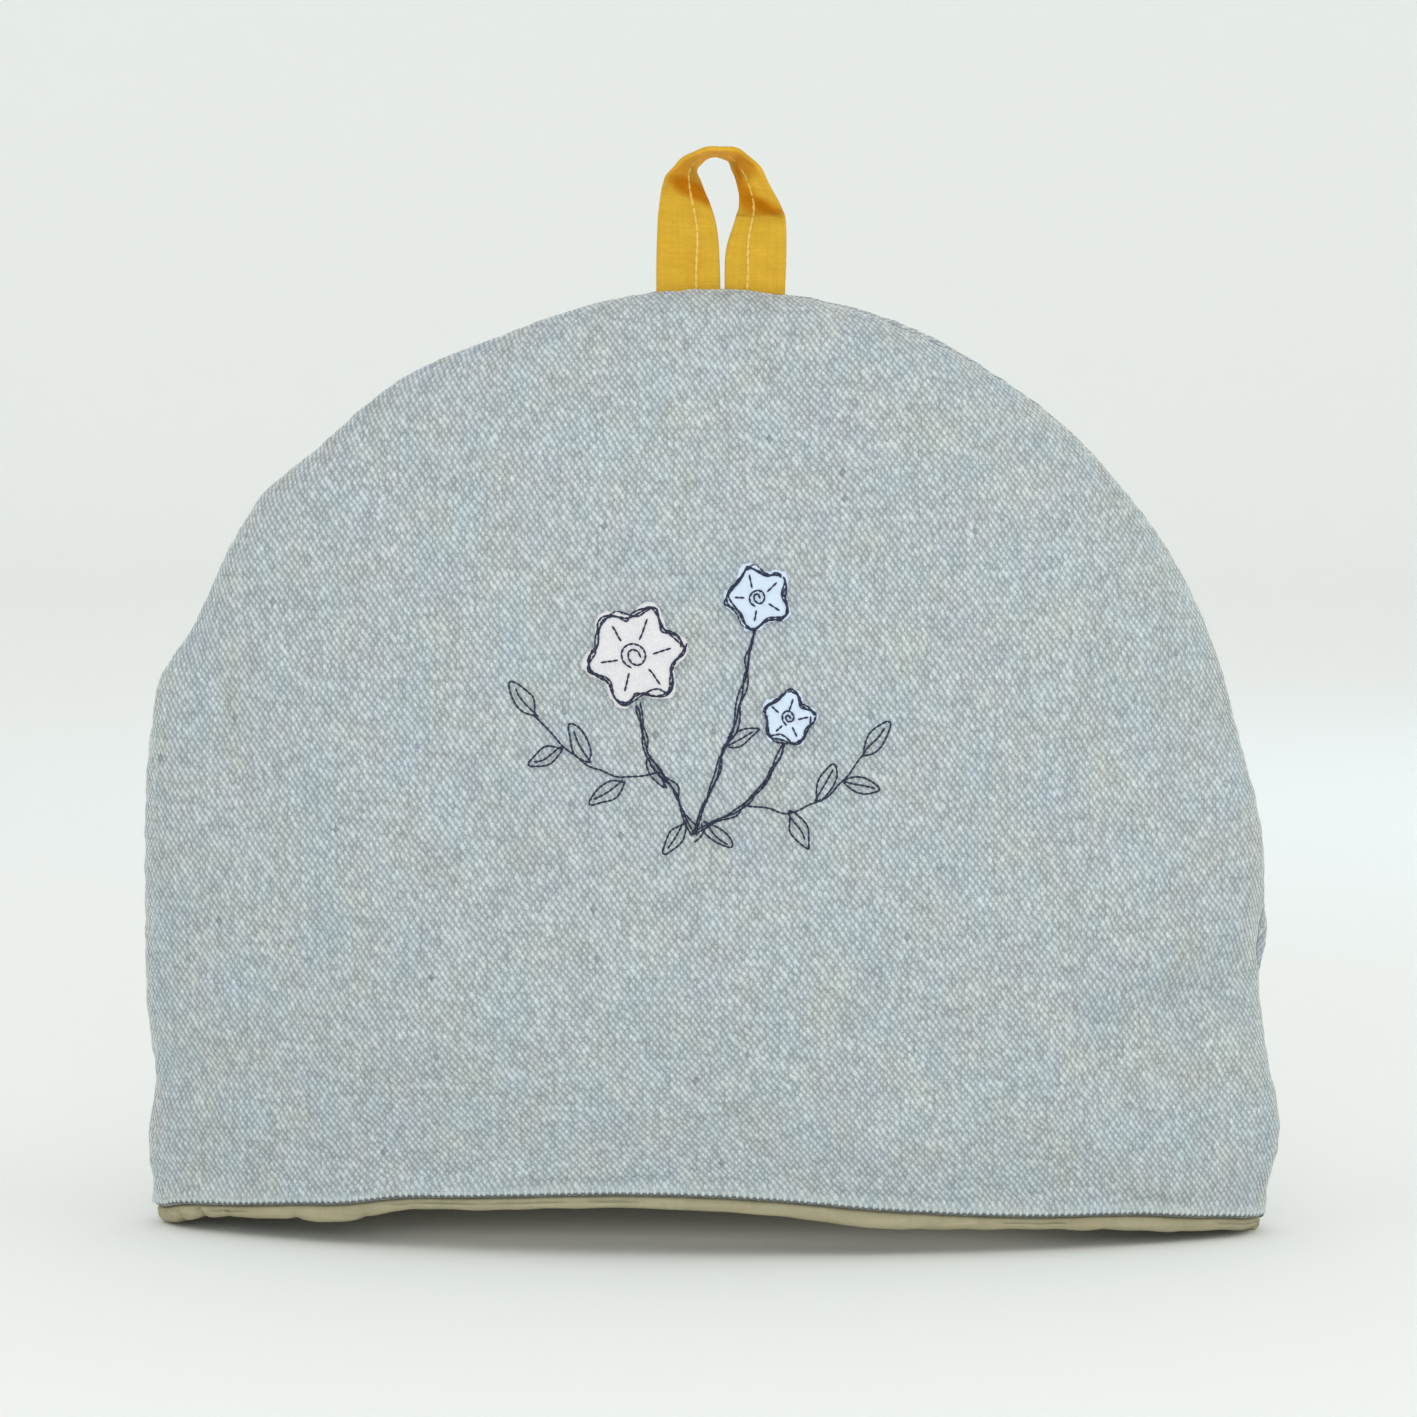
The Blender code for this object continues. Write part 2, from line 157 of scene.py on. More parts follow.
def foldHeight(side, x, z):
    total = np.zeros_like(x)
    for which, foldX, foldZ, angle, length, width, height in cosyShape["folds"]:
        if which == side:
            run, off = seenAlong(x - foldX, z - foldZ, angle)
            total += height * np.exp(-((run / length) ** 2) - (off / width) ** 2)
    return total


def panelPoint(side, at, inward):
    # at is along the seam in mm; inward is 0 at the seam, 1 past the rounded edge, 2 at the middle line
    s = cosyShape
    x0, y0, z0 = seamPoint(at)
    ahead = seamPoint(at + s["seamStep"])
    behind = seamPoint(at - s["seamStep"])
    dx, dz = ahead[0] - behind[0], ahead[2] - behind[2]
    length = np.hypot(dx, dz)
    inX, inZ = dz / length, -dx / length
    spineZ = s["spineHeight"] * np.sin(math.pi / 2 * np.clip(z0 / s["crownHeight"], 0, 1))
    reach = -x0 * inX + (spineZ - z0) * inZ
    angle = math.pi / 2 * np.clip(inward, 0, 1)
    distance = s["rollWidth"] * (1 - np.cos(angle)) + (reach - s["rollWidth"]) * np.clip(inward - 1, 0, 1)
    share = distance / reach
    x = x0 * (1 - share)
    z = z0 + (spineZ - z0) * share
    if side == back:
        swell = np.zeros_like(x0)
        for puffX, puffZ, puffReach, puffHeight in s["puffs"]:
            away = (x0 - puffX) ** 2 + (z0 - puffZ) ** 2
            swell += puffHeight * np.exp(-away / (2 * puffReach**2))
        swell *= np.sin(2 * angle).clip(0) ** s["puffPower"]
        x = x - inX * swell
        z = z - inZ * swell
    table = np.array(s["swell"], float)
    middle = throughTable(table[:, 0], table[:, 1 if side == front else 2], z)
    belly = middle * (1 - (1 - share) ** s["bellyPower"])
    depth = s["rollDepth"] * np.sin(angle) + belly + foldHeight(side, x, z) * np.sin(angle)
    opening, tapeMiddle, halfWidth, runOut = s["gapAtTape"]
    besideTape = (halfWidth + runOut - np.abs(x0 - tapeMiddle)) / runOut
    opened = np.clip(besideTape, 0, 1) * (z0 > s["spineHeight"])
    gap = opening * opened * (1 - np.clip(inward, 0, 1))
    y = y0 * (1 - share) ** 2 + side * (gap + depth)
    return np.stack([x, y, z], axis=-1)


def panelNormal(side, at, inward):
    s = cosyShape
    inward = np.minimum(inward, s["nearMiddle"])
    up = panelPoint(side, at + s["normalStep"], inward)
    down = panelPoint(side, at - s["normalStep"], inward)
    more = panelPoint(side, at, inward + s["smallStep"])
    less = panelPoint(side, at, np.maximum(inward - s["smallStep"], 0))
    normal = unit(np.cross(up - down, more - less) * side)
    beside = inward == s["nearMiddle"]
    normal[beside] = ((normal + normal[::-1]) / 2)[beside]
    return unit(normal)


# meshes

def meshPiece(name, points, faces, uv=None, material=None, flip=True, edge=None):
    # points in millimetres, uv in metres of flat cloth, edge in metres along and above the hem's edge; on the
    # tape, edge holds its amounts of painted shade and painted highlight
    mesh = bpy.data.meshes.new(name)
    mesh.from_pydata((np.asarray(points) * mm).tolist(), [], [list(map(int, f)) for f in faces])
    if flip:
        bm = bmesh.new()
        bm.from_mesh(mesh)
        bmesh.ops.recalc_face_normals(bm, faces=bm.faces)
        bm.to_mesh(mesh)
        bm.free()
    corner = np.zeros(len(mesh.loops), dtype=np.int32)
    mesh.loops.foreach_get("vertex_index", corner)
    for layerName, flat in (("cloth", uv), ("edge", edge)):
        if flat is not None:
            layer = mesh.uv_layers.new(name=layerName)
            layer.uv.foreach_set("vector", np.asarray(flat, np.float32)[corner].ravel())
    mesh.shade_smooth()
    piece = bpy.data.objects.new(name, mesh)
    bpy.context.scene.collection.objects.link(piece)
    if material:
        mesh.materials.append(material)
    return piece


def gridFaces(index):
    # four-cornered faces of a block of point numbers
    a, b, c, d = index[:-1, :-1], index[1:, :-1], index[1:, 1:], index[:-1, 1:]
    return np.stack([a, b, c, d], axis=-1).reshape(-1, 4)


def closedRows(start, rows, count):
    # point numbers of rows that each run on to where they started
    index = start + np.arange(rows * count).reshape(rows, count)
    return np.concatenate([index, index[:, :1]], axis=1)


def flatCloth(points, spineRow):
    # lays the cloth out flat from its middle line: the weave follows these
    fromSpine = points[:, ::-1]
    arc = lengthsAlong(np.swapaxes(fromSpine, 0, 1)).T[:, ::-1]
    plan = unit(points[:, 0][:, (0, 2)] - points[:, -1][:, (0, 2)])
    spine = points[: spineRow + 1, -1]
    up = lengthsAlong(spine) + spine[0, 2]
    up = np.concatenate([up, up[-2::-1]])
    flat = np.stack([arc * plan[:, :1], up[:, None] + arc * plan[:, 1:]], axis=-1)
    u = unevenness
    wander = [ripples(seeds["yarn"] + k, flat[..., 0], flat[..., 1], u["yarnWave"]) for k in (0, 1)]
    return flat + u["yarnWander"] * np.stack(wander, axis=-1)


def clothPanel(name, side, look, material):
    # one layer of cloth between two depths under the cosy's outer surface, closed round its hem
    s, u = cosyShape, unevenness
    rows, rim, body = look["rows"], look["rim"], look["body"]
    leftFoot = seamAt[1] + s["startZ"] - seamTable[1, 1]
    rightFoot = seamAt[-2] - s["startZ"] + seamTable[-2, 1]
    at = np.linspace(leftFoot, rightFoot, rows + 1)
    rimSteps = (np.arange(rim) / rim) ** s["rimEase"]
    bodySteps = 1 + (np.arange(body + 1) / body) ** look["bodyEase"]
    inward = np.concatenate([rimSteps, bodySteps])
    at, inward = np.meshgrid(at, inward, indexing="ij")
    last = inward.shape[1] - 1
    base = panelPoint(side, at, inward)
    normal = panelNormal(side, at, inward)
    uv = flatCloth(base, rows // 2)
    rimArc = s["rollDepth"] * math.pi / 2 * np.clip(inward, 0, 1) + s["bodyReach"] * np.clip(inward - 1, 0, 1)

    # soft unevenness is shared by all layers, the puckers beside the seam are each cloth's own
    x, z = base[..., 0], base[..., 2]
    calm = 1 - np.exp(-rimArc / u["seamCalm"])
    soft = u["height"] * ripples(seeds["soft"] + side, x, z, u["wave"]) * calm
    soft += u["height"] * u["smallShare"] * ripples(seeds["small"] + side, x, z, u["smallWave"]) * calm
    pucker = ripples(seeds["pucker"] + side, at, inward * u["puckerRows"], u["puckerWave"])
    pucker *= look["puckerHeight"]
    pucker *= np.exp(-rimArc / u["puckerReach"]) * (1 - np.exp(-rimArc / u["puckerStart"]))
    hemNear = np.exp(-((z - s["startZ"]) / u["hemReach"]) ** 2)
    hemPucker = ripples(seeds["hem"] + side, x, z * u["hemStretch"], u["hemWave"])
    hemPucker *= u["hemHeight"] * hemNear
    groove = look["grooveDepth"] * np.exp(-((rimArc / u["grooveWidth"]) ** 2))
    outDepth = look["face"] - soft - pucker - hemPucker + groove
    inDepth = look["backFace"] - soft - hemPucker

    column = 1 if side == front else 2

    def raised(points):
        fade = np.clip(1 - points[..., 2] / s["liftFade"], 0, 1) ** 2
        points = points.copy()
        points[..., 2] += hemValue(column, points[..., 0]) * fade
        return points

    layers = [raised(base - normal * depth[..., None]) for depth in (outDepth, inDepth)]
    half = rows // 2
    points, uvs, grids, edges = [], [], [], []

    def overEdge(places):
        # along the hem and up from the wool's edge
        up = places[..., 2] - hemValue(column, places[..., 0]) - hemValue(3, places[..., 0])
        return np.stack([places[..., 0], up], axis=-1).reshape(-1, 2)

    start = 0
    for layer in layers:
        index = np.zeros(at.shape, int)
        index[:, :last] = start + np.arange((rows + 1) * last).reshape(rows + 1, last)
        spine = start + (rows + 1) * last + np.arange(half + 1)
        index[:, last] = spine[np.minimum(np.arange(rows + 1), rows - np.arange(rows + 1))]
        points += [layer[:, :last].reshape(-1, 3), layer[: half + 1, last]]
        uvs += [uv[:, :last].reshape(-1, 2), uv[: half + 1, last]]
        edges += [overEdge(layer[:, :last]), overEdge(layer[: half + 1, last])]
        start += (rows + 1) * last + half + 1
        grids.append(index)
    faces = [gridFaces(grid) for grid in grids]
    faces.append(gridFaces(np.stack([grid[:, 0] for grid in grids], axis=1)))

    # the hem, from the left seam to the middle and on to the right seam
    i = np.array([0] * (last + 1) + [rows] * last)
    j = np.array(list(range(last + 1)) + list(range(last - 1, -1, -1)))
    flat = unit(normal[i, j] * (1, 1, 0))
    foot = base[i, j]
    lift = hemValue(column, foot[:, 0])
    band = hemValue(3, foot[:, 0])
    along = lengthsAlong(foot)
    wobble = ripples(seeds["edge"] + side, along, along * 0, look["edgeWave"]) * u["edgeHeight"]

    def tucked(drop):
        # each tuck is a sharp fold that leans as it goes down
        total = np.zeros_like(along)
        for tuckX, tuckWidth, tuckDepth, lean in look["tucks"].get(side, ()):
            tuckAt = np.interp(tuckX, foot[:, 0], along) + lean * drop
            off = (along - tuckAt) / tuckWidth
            total += tuckDepth * np.exp(u["tuckTip"] - np.sqrt(off**2 + u["tuckTip"] ** 2))
        return total

    sections = []
    for depth, height, loose, *onTable in look["edge"]:
        over = height if onTable else band + height
        tuck = tucked(np.mean(1 - over / (band + u["tuckFoot"])))
        place = foot - flat * (depth + loose * (wobble - hemPucker[i, j] + tuck))[:, None]
        up = (wobble * u["edgeUp"] + tuck * u["tuckUp"]) * loose * bool(onTable)
        place[:, 2] = np.maximum(lift + over + up, 0)
        # the hem's two ends lean in as the seam does there
        lean = []
        for seamFoot in (seamTable[:3], seamTable[:-4:-1]):
            seamX = np.interp(place[:, 2], seamFoot[:, 1], seamFoot[:, 0])
            lean.append(seamX / np.interp(s["startZ"], seamFoot[:, 1], seamFoot[:, 0]))
        place[:, 0] *= np.where(place[:, 0] < 0, *lean)
        sections.append(place)
    sections = np.array(sections)
    run = np.concatenate([layers[0][i, j][None], sections])
    drop = lengthsAlong(run)[1:]
    hemUv = uv[i, j][None] - np.stack([drop * 0, drop], axis=-1)
    hemIndex = start + np.arange(sections.shape[0] * sections.shape[1]).reshape(sections.shape[:2])
    points.append(sections.reshape(-1, 3))
    uvs.append(hemUv.reshape(-1, 2))
    edges.append(overEdge(sections))
    strip = np.concatenate([grids[0][i, j][None], hemIndex, grids[1][i, j][None]])
    faces.append(gridFaces(strip))
    allFaces = [*np.concatenate(faces), strip[:, 0], strip[:, -1]]
    flatPlaces, edgePlaces = np.concatenate(uvs) * mm, np.concatenate(edges) * mm
    piece = meshPiece(name, np.concatenate(points), allFaces, flatPlaces, material, edge=edgePlaces)
    print(name, "made,", len(piece.data.polygons), "faces")
    return piece, sections, flat


# materials

def nodeTools(name):
    # a new material and short hands for its nodes
    material = bpy.data.materials.new(name)
    material.use_nodes = True
    tree = material.node_tree

    def fill(node, inputs):
        for key, value in inputs.items():
            if isinstance(value, bpy.types.NodeSocket):
                tree.links.new(value, node.inputs[key])
            else:
                node.inputs[key].default_value = value
        return node

    def make(kind, inputs=None, **settings):
        node = tree.nodes.new("ShaderNode" + kind)
        for key, value in settings.items():
            setattr(node, key, value)
        return fill(node, inputs or {})

    def calc(operation, *values):
        return make("Math", dict(enumerate(values)), operation=operation).outputs[0]

    def blend(amount, a, b, kind="MIX"):
        parts = {"Factor": amount, "A": a, "B": b}
        return make("Mix", parts, data_type="RGBA", blend_type=kind).outputs["Result"]

    def shaded(inputs):
        fill(tree.nodes["Principled BSDF"], inputs)
        return material

    return make, calc, blend, shaded


def colour(red, green, blue):
    # a colour as a paint chart gives it, 0 to 255, made linear for the shader
    def line(c):
        c /= 255
        return c / 12.92 if c <= 0.04045 else ((c + 0.055) / 1.055) ** 2.4
    return (line(red), line(green), line(blue), 1)


# how far apart neighbouring yarns lie in the noise that shades them
yarnApart = (0.73, 0.67)


def wovenCloth(name, look):
    # plain weave: floats stand at every second crossing, each a small oval with its own shade
    make, calc, blend, shaded = nodeTools(name)

    def times(a, b):
        return calc("MULTIPLY", a, b)

    def plus(a, b):
        return calc("ADD", a, b)

    def softStep(value, low, high, most=1):
        # from 0 at low to most at high
        places = {0: value, 1: low, 2: high, 3: 0, 4: most}
        return make("MapRange", places, interpolation_type="SMOOTHSTEP").outputs[0]

    uv = make("UVMap", uv_map="cloth").outputs[0]
    inMillimetres = make("VectorMath", {0: uv, "Scale": 1000}, operation="SCALE").outputs[0]
    split = make("SeparateXYZ", {0: inMillimetres})
    across, up = split.outputs[0], split.outputs[1]
    p, q = look["across"], look["up"]

    def floats(shift):
        a = plus(times(across, 0.5 / p), shift)
        b = plus(times(up, 0.5 / q), shift)
        cell = make("CombineXYZ", {0: calc("FLOOR", a), 1: calc("FLOOR", b), 2: shift}).outputs[0]
        chance = make("TexWhiteNoise", {"Vector": cell}, noise_dimensions="3D")
        jitter = make("SeparateColor", {0: chance.outputs["Color"]})
        least = 0.5 - look["jitter"] / 2
        middle = [plus(times(jitter.outputs[k], look["jitter"]), least) for k in (0, 1)]
        fx = times(calc("SUBTRACT", calc("FRACT", a), middle[0]), 2 * p)
        fy = times(calc("SUBTRACT", calc("FRACT", b), middle[1]), 2 * q)
        size = plus(times(jitter.outputs[2], look["sizes"]), 1 - look["sizes"] / 2)
        ex = times(plus(fx, times(fy, look["tilt"])), 1 / (look["floatWide"] * p))
        ey = times(fy, 1 / (look["floatLong"] * q))
        away = times(plus(times(ex, ex), times(ey, ey)), size)
        dome = calc("MAXIMUM", calc("SUBTRACT", 1, away), 0)
        return dome, chance.outputs["Value"]

    domeA, chanceA = floats(0)
    domeB, chanceB = floats(0.5)
    dome = calc("MAXIMUM", domeA, domeB)
    pick = calc("GREATER_THAN", domeB, domeA)
    chance = plus(chanceA, times(pick, calc("SUBTRACT", chanceB, chanceA)))

    # each yarn drifts in shade along its length, and small areas drift in colour
    warp = calc("FLOOR", times(across, 1 / p))
    weft = calc("FLOOR", times(up, 1 / q))
    warpPlace = make("CombineXYZ", {0: times(warp, yarnApart[0]), 1: times(up, look["slub"])})
    weftPlace = make("CombineXYZ", {0: times(across, look["slub"]), 1: times(weft, yarnApart[1]), 2: 9})
    warpShade, weftShade = (
        make("TexNoise", {"Vector": place.outputs[0], "Scale": 1, "Detail": 0}).outputs["Fac"]
        for place in (warpPlace, weftPlace)
    )
    stretched = make("VectorMath", {0: uv, 1: (1, look["patchStretch"], 1)}, operation="MULTIPLY")
    patch = make("TexNoise", {
        "Vector": stretched.outputs[0], "Scale": look["patchScale"], "Detail": 1, "Roughness": 0.6,
    })
    drifts = make("SeparateColor", {0: patch.outputs["Color"]})

    fluff = make("TexNoise", {"Vector": uv, "Scale": look["fluffScale"], "Detail": 0}).outputs["Fac"]

    def drift(noise, amount):
        # a noise about one half turned into a factor about one
        return plus(times(noise, 2 * amount), 1 - amount)

    bluer = drift(drifts.outputs[0], look["blueDrift"])
    redder = calc("SUBTRACT", 2, bluer)
    greener = drift(drifts.outputs[1], look["greenDrift"])
    shade = drift(warpShade, look["streak"])
    cloud = drifts.outputs[2]
    for noise, key in ((weftShade, "streak"), (cloud, "cloud"), (chance, "chance"), (fluff, "fibre")):
        shade = times(shade, drift(noise, look[key]))
    tint = make("CombineColor", {k: times(part, shade) for k, part in enumerate((redder, greener, bluer))})

    amount = softStep(dome, 0, look["floatEdge"])
    base = blend(amount, look["gapColour"], look["floatColour"])
    if "edgeHighlightColour" in look:
        # painted highlight: towards its turned edge the cloth is painted paler, where the rolled edge catches
        # the light
        fromEdge = make("SeparateXYZ", {0: make("UVMap", uv_map="edge").outputs[0]}).outputs[1]
        near = softStep(fromEdge, look["edgeWide"] * mm, look["edgeWide"] * 0.4 * mm)
        base = blend(times(near, look["edgeHighlightShare"]), base, look["edgeHighlightColour"])
        # painted shade: the lowest millimetre of the wool, where it turns under behind the floats, is painted
        # darker
        under = softStep(fromEdge, look["underTop"] * mm, look["underFoot"] * mm, look["underEdgeShadeShare"])
        base = blend(under, base, look["underEdgeShadeColour"])
    if "hollowShadeColour" in look:
        # painted shade: deeper orange in the tape's hollows and where it faces down; painted highlight: paler
        # where it bends over the top
        paintedShadeAndHighlight = make("SeparateXYZ", {0: make("UVMap", uv_map="edge").outputs[0]})
        base = blend(paintedShadeAndHighlight.outputs[1], base, look["crownHighlightColour"])
        base = blend(paintedShadeAndHighlight.outputs[0], base, look["hollowShadeColour"])
    base = blend(1, base, tint.outputs[0], "MULTIPLY")
    if "flecks" in look:
        fleck = calc("GREATER_THAN", chance, 1 - look["flecks"])
        base = blend(times(fleck, look["fleckShare"]), base, look["fleckColour"])

    height = plus(times(dome, look["rise"]), times(fluff, look["fluff"]))
    bump = make("Bump", {"Height": height, "Distance": mm, "Strength": look["bump"]})
    rough = calc("SUBTRACT", look["rough"], times(amount, 0.05))
    return shaded({
        "Base Color": base, "Normal": bump.outputs[0], "Roughness": rough,
        "Specular IOR Level": look["gloss"], "Sheen Weight": look["sheen"],
        "Sheen Roughness": 0.2, "Sheen Tint": look["sheenTint"],
    })


woolLook = dict(
    across=0.997, up=1.34, tilt=0.22, floatWide=0.64, floatLong=0.74, floatEdge=0.95,
    jitter=0.17, sizes=0.9,
    gapColour=colour(152, 160, 164), floatColour=colour(189, 196, 198),
    # painted highlight: paler towards the hem's turned edge
    edgeHighlightColour=colour(182, 191, 192), edgeWide=4.2, edgeHighlightShare=0.45,
    # painted shade just under the turned edge
    underEdgeShadeColour=colour(70, 74, 70), underTop=1.4, underFoot=0.7, underEdgeShadeShare=0.75,
    blueDrift=0.085, greenDrift=0.035, streak=0.105, cloud=0.045, chance=0.11, fibre=0.24,
    patchScale=72, patchStretch=0.65, slub=0.09,
    flecks=0.0012, fleckShare=0.55, fleckColour=colour(80, 92, 106),
    rise=0.24, fluff=0.14, fluffScale=2400, bump=0.8,
    rough=0.95, gloss=0.12, sheen=1, sheenTint=(1, 1, 0.98, 1),
)
liningLook = dict(
    across=0.42, up=0.46, tilt=0, floatWide=0.8, floatLong=0.8, floatEdge=0.8,
    jitter=0.05, sizes=0.4,
    gapColour=colour(145, 138, 111), floatColour=colour(171, 164, 136),
    blueDrift=0.06, greenDrift=0.01, streak=0.16, cloud=0.1, chance=0.07,
    fibre=0.08, patchScale=90, patchStretch=1, slub=0.05,
    rise=0.1, fluff=0.05, fluffScale=3000, bump=0.7,
    rough=0.92, gloss=0.2, sheen=0.15, sheenTint=(1, 0.98, 0.9, 1),
)
tapeLook = dict(
    liningLook, across=0.7, up=0.36, floatWide=1.9, floatEdge=1, sizes=0.5,
    gapColour=colour(192, 141, 34), floatColour=colour(206, 164, 53),
    # painted shade in the tape's hollows, painted highlight over its crown
    hollowShadeColour=colour(184, 112, 0), crownHighlightColour=colour(238, 178, 58),
    blueDrift=0.05, greenDrift=0.02, streak=0.06, cloud=0.1, chance=0.03, fibre=0.06,
    patchScale=140, patchStretch=1.6, slub=0.04,
    rise=0.07, fluff=0.04, fluffScale=3200, bump=0.6,
    rough=0.82, gloss=0.1, sheen=0.03, sheenTint=(1, 0.85, 0.35, 1),
)
creamLook = dict(
    liningLook, across=0.34, up=0.34, jitter=0.04, sizes=0.3,
    gapColour=colour(204, 202, 205), floatColour=colour(224, 222, 225),
    blueDrift=0.015, greenDrift=0.005, streak=0.03, cloud=0.04, chance=0.04,
    patchScale=120, slub=0.1,
    rise=0.08, fluff=0.03, fluffScale=3500, bump=0.6,
    rough=0.9, gloss=0.25, sheen=0.1, sheenTint=(1, 1, 1, 1),
)
blueLook = dict(creamLook, gapColour=colour(193, 208, 228), floatColour=colour(213, 226, 242))

wool = wovenCloth("blueGreyWool", woolLook)
liningCloth = wovenCloth("khakiLining", liningLook)
tapeCloth = wovenCloth("yellowTape", tapeLook)
creamCloth = wovenCloth("creamPatch", creamLook)
blueCloth = wovenCloth("bluePatch", blueLook)
print("cloths ready")


def threadMaterial(name, shade, rough):
    make, _, blend, shaded = nodeTools(name)
    where = make("TexCoord").outputs["Object"]
    twist = make("TexNoise", {"Vector": where, "Scale": 1500, "Detail": 2}).outputs["Fac"]
    dark = tuple(c * 0.7 for c in shade[:3]) + (1,)
    bump = make("Bump", {"Height": twist, "Distance": 0.2 * mm, "Strength": 0.6})
    return shaded({
        "Base Color": blend(twist, dark, shade), "Normal": bump.outputs[0],
        "Roughness": rough, "Specular IOR Level": 0.3,
    })


navyThread = threadMaterial("navyThread", colour(46, 52, 76), 0.6)
paleThread = threadMaterial("paleThread", colour(242, 204, 104), 0.6)
creamFibre = threadMaterial("creamFibre", colour(232, 228, 226), 0.9)
blueFibre = threadMaterial("blueFibre", colour(204, 219, 238), 0.9)
# painted highlight: the floats along the hem are painted paler than the same wool in the panels, as if lit
highlightedWoolYarn = threadMaterial("highlightedWoolYarn", colour(210, 217, 218), 0.9)


# wool panels and their lining

woolPanel = dict(
    rows=420, rim=14, body=66, bodyEase=1,
    face=0, backFace=2.5,
    puckerHeight=0.22, grooveDepth=1.5, edgeWave=16, tucks={},
    # depth, height over the band, how much it follows the edge's wobble; with "table", height over that
    edge=[
        (0, 4.9, 0), (-0.02, 4, 0), (-0.2, 3.3, 0), (-0.42, 2.7, 0.5),
        (-0.5, 2, 1), (-0.5, 1.2, 1), (-0.34, 0.5, 1), (0.1, 0.1, 1),
        (0.8, -0.05, 1), (1.5, 0.02, 1), (2.1, 0.35, 1), (2.4, 0.9, 0),
        (2.5, 1.6, 0),
    ],
    floatTop=4, floatFoot=6, floatStep=2.02, floatRadius=0.52, floatSizes=(0.75, 1.12),
    floatStray=0.12, floatBow=0.12,
)
liningPanel = dict(
    rows=200, rim=24, body=112, bodyEase=1.35,
    face=2.9, backFace=4.9,
    puckerHeight=0, grooveDepth=0, edgeWave=26,
    # x, width, depth and lean of each tuck
    tucks={
        front: [
            (-163.6, 0.9, 1.7, 3), (-161, 2.2, -0.5, 3), (-156.2, 0.8, 2, 2.5), (-153, 2.2, -0.4, 2.5),
            (-147.5, 1, 0.6, 1.5), (-137, 4, -0.3, 0), (-126.5, 1.1, 1.1, 2), (-119, 3, -0.3, 1),
            (-105, 1.3, 1, 1.5), (-88, 1.8, 0.4, -1), (60, 3, 0.4, 1), (118, 2, 0.3, -1),
            (141, 1.6, 0.3, 1),
        ],
        back: [
            (-120, 1.5, 1, 2), (-40, 2, 0.7, 1), (35, 1.4, 1, -2), (118, 1.6, 0.9, 1),
            (154, 1, 1.4, 3),
        ],
    },
    edge=[
        (2.9, 1.4, 0), (2.7, 0.2, 0), (1.9, -0.35, 0.3), (0.9, -0.6, 0.6),
        (0.45, -1.2, 1), (0.25, -2, 1), (0.2, 2, 1, "table"), (0.25, 1.3, 1, "table"),
        (0.55, 0.6, 1, "table"), (1.1, 0.12, 1, "table"), (2, 0, 1, "table"), (3.4, 0, 1, "table"),
        (4.5, 0.15, 1, "table"),
        (5.2, 0.9, 0.6, "table"), (5.4, 2, 0.3, "table"), (5.3, -1, 0), (4.95, 1.4, 0),
    ],
)

frontPanel, frontHem, frontOut = clothPanel("frontPanel", front, woolPanel, wool)
backPanel, backHem, backOut = clothPanel("backPanel", back, woolPanel, wool)
frontLining = clothPanel("frontLining", front, liningPanel, liningCloth)[0]
backLining = clothPanel("backLining", back, liningPanel, liningCloth)[0]


def surfaceTree(*made):
    bm = bmesh.new()
    for piece in made:
        bm.from_mesh(piece.data)
    tree = BVHTree.FromBMesh(bm)
    bm.free()
    return tree


def layOn(tree, x, z, lift=0):
    # the place on the front at x, z in millimetres, and the way it faces
    hit, normal, _, _ = tree.ray_cast(Vector((x, -200, z)) * mm, Vector((0, 1, 0)))
    if normal.y > 0:
        normal = -normal
    return np.array(hit) / mm + np.array(normal) * lift, np.array(normal)


# stitches

stitchEnd = 0.45        # how thick a stitch is at its ends, as a share of its middle
shortest = 0.05         # a stitch shorter than this in millimetres is left out


def stitchMesh(name, stitches, material, sides=6, rings=5):
    # each stitch is a short plump thread from a to b, bowed away from the cloth
    points, faces = [], []
    share = np.linspace(0, 1, rings)
    plump = stitchEnd + (1 - stitchEnd) * np.sin(math.pi * share) ** 0.6
    around = np.linspace(0, 2 * math.pi, sides, endpoint=False)
    for a, b, out, radius, bow in stitches:
        a, b, out = (np.asarray(v, float) for v in (a, b, out))
        run = b - a
        length = np.linalg.norm(run)
        if length < shortest:
            continue
        run = run / length
        side = np.cross(run, out)
        side /= np.linalg.norm(side)
        out = np.cross(side, run)
        start = len(points)
        for k in range(rings):
            centre = a + (b - a) * share[k] + out * bow * math.sin(math.pi * share[k])
            for turn in around:
                points.append(centre + (side * math.cos(turn) + out * math.sin(turn)) * radius * plump[k])
        for k in range(rings - 1):
            low, high = start + k * sides, start + (k + 1) * sides
            for m in range(sides):
                n = (m + 1) % sides
                faces.append((low + m, low + n, high + n, high + m))
        faces.append(tuple(start + m for m in reversed(range(sides))))
        faces.append(tuple(start + (rings - 1) * sides + m for m in range(sides)))
    piece = meshPiece(name, points, faces, None, material, flip=False)
    print(name, "sewn,", len(stitches), "stitches")
    return piece


def evenly(points, step):
    # a polyline cut into stitches of about one length
    points = np.asarray(points, float)
    at = lengthsAlong(points)
    count = max(2, int(round(at[-1] / step)) + 1)
    places = np.linspace(0, at[-1], count)
    return np.stack([np.interp(places, at, points[:, k]) for k in range(points.shape[1])], axis=1)


